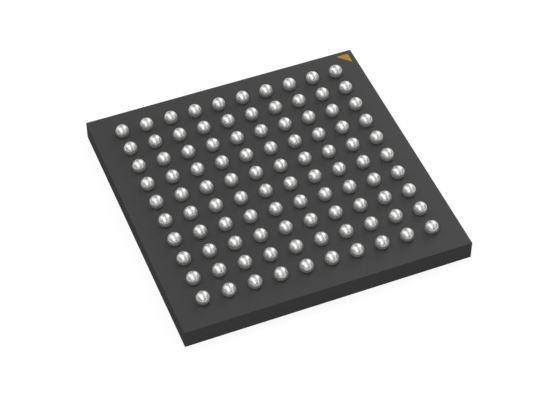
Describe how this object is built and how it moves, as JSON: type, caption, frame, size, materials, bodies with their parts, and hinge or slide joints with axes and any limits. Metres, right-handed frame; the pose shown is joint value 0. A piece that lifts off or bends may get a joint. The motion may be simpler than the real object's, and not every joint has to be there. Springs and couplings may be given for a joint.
{
  "type": "ball grid array chip package",
  "caption": "Flat square chip package with a full grid of solder balls on one face and a gold corner mark.",
  "frame": {"origin": "centre of the marking face, on the surface that the chip lies on", "axes": "+Z towards the solder balls; the gold corner mark is at the corner towards +X and +Y, beside ball A1"},
  "size_m": [0.009, 0.009, 0.001],
  "materials": {
    "mould_compound": "matt black moulded epoxy, sawn edges",
    "laminate": "dark glass and resin laminate, sawn edges",
    "solder_mask": "satin dark solder mask",
    "plated_copper": "plated copper",
    "gold_plate": "gold plated copper",
    "gold_wire": "drawn gold wire",
    "adhesive": "cured die attach paste",
    "silicon": "polished silicon",
    "solder": "bright reflowed solder"
  },
  "bodies": {
    "root": {"mould_cap": "mould_compound", "substrate_core": "laminate", "ball_side_mask": "solder_mask", "die_side_mask": "solder_mask", "ball_lands": "plated_copper", "corner_mark": "gold_plate", "die_pad": "plated_copper", "die_attach": "adhesive", "die": "silicon", "bond_fingers_back": "gold_plate", "bond_wires_back": "gold_wire", "bond_fingers_left": "gold_plate", "bond_wires_left": "gold_wire", "bond_fingers_front": "gold_plate", "bond_wires_front": "gold_wire", "bond_fingers_right": "gold_plate", "bond_wires_right": "gold_wire", "ball_row_a": "solder", "ball_row_b": "solder", "ball_row_c": "solder", "ball_row_d": "solder", "ball_row_e": "solder", "ball_row_f": "solder", "ball_row_g": "solder", "ball_row_h": "solder", "ball_row_j": "solder", "ball_row_k": "solder"}
  },
  "joints": []
}
